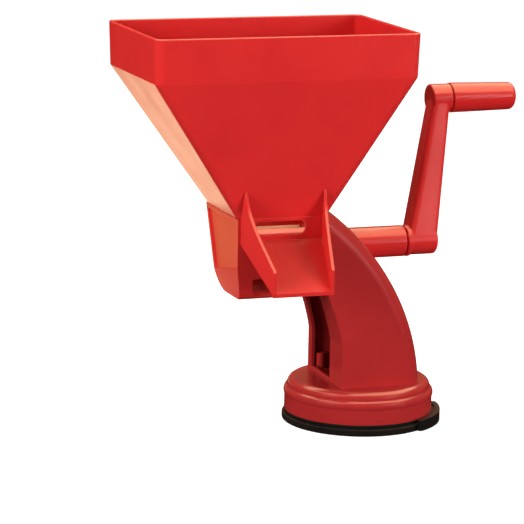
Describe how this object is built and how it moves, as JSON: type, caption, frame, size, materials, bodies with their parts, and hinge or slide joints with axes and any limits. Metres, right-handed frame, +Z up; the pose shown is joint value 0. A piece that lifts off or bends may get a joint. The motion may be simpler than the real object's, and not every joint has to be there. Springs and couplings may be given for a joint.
{
  "type": "tomato strainer",
  "caption": "Hand cranked tomato strainer: rectangular hopper over a rotor and curved sieve, front skin chute, side crank, column and twist-lock suction base.",
  "frame": {"origin": "centre of the round base, on the table", "axes": "+X along the crank shaft towards the crank, -Y the skin chute's side, +Z up"},
  "size_m": [0.3539, 0.169, 0.34],
  "materials": {
    "red_plastic": "glossy moulded red",
    "grip_red": "glossy moulded red",
    "black_rubber": "matte",
    "black_plastic": "satin",
    "sieve_steel": "pressed stainless",
    "shaft_steel": "turned",
    "white_nylon": "moulded nylon",
    "blade_rubber": "food grade elastomer",
    "screw_steel": "zinc plated"
  },
  "bodies": {
    "stand": {"housing": "red_plastic", "sieve": "sieve_steel", "sieve_frame": "white_nylon", "shaft_seal": "black_rubber", "bearing_sleeve": "red_plastic", "sleeve_bushes": "white_nylon", "column": "red_plastic", "wall_screws": "screw_steel", "foot_screws": "screw_steel", "base_ring": "red_plastic", "suction_cup": "black_rubber", "skin_chute": "red_plastic"},
    "hopper": {"hopper": "red_plastic"},
    "cover": {"end_cover": "red_plastic", "left_bush": "white_nylon"},
    "crank": {"crank_arm": "red_plastic", "crank_pin": "shaft_steel", "drive_shaft": "shaft_steel", "rotor_hub": "white_nylon", "rotor_blades": "blade_rubber", "rotor_pin": "shaft_steel", "grip_axle": "shaft_steel"},
    "grip": {"grip": "grip_red", "grip_cap": "grip_red"},
    "lock": {"lock_ring": "black_plastic"},
    "plunger": {"plunger": "white_nylon", "lock_pin": "shaft_steel"}
  },
  "joints": [
    {"name": "crank_spin", "type": "hinge", "parent": "stand", "child": "crank", "pos_m": [0, 0, 0.1535], "axis": [1, 0, 0], "continuous": true},
    {"name": "grip_spin", "type": "hinge", "parent": "crank", "child": "grip", "pos_m": [0.09, 0.02932, 0.2711], "axis": [1, 0, 0], "continuous": true},
    {"name": "hopper_lift", "type": "slide", "parent": "stand", "child": "hopper", "axis": [0, 0, 1], "range_m": [0, 0.12]},
    {"name": "cover_pull", "type": "slide", "parent": "stand", "child": "cover", "axis": [-1, 0, 0], "range_m": [0, 0.06]},
    {"name": "lock_turn", "type": "hinge", "parent": "stand", "child": "lock", "pos_m": [0, 0, 0.008], "axis": [0, 0, 1], "range_deg": [0, 60]},
    {"name": "plunger_drop", "type": "slide", "parent": "stand", "child": "plunger", "axis": [0, 0, -1], "range_m": [0, 0.004]}
  ],
  "couplings": [
    {"joint": "plunger_drop", "follows": "lock_turn", "m_per_rad": 0.0038197}
  ]
}
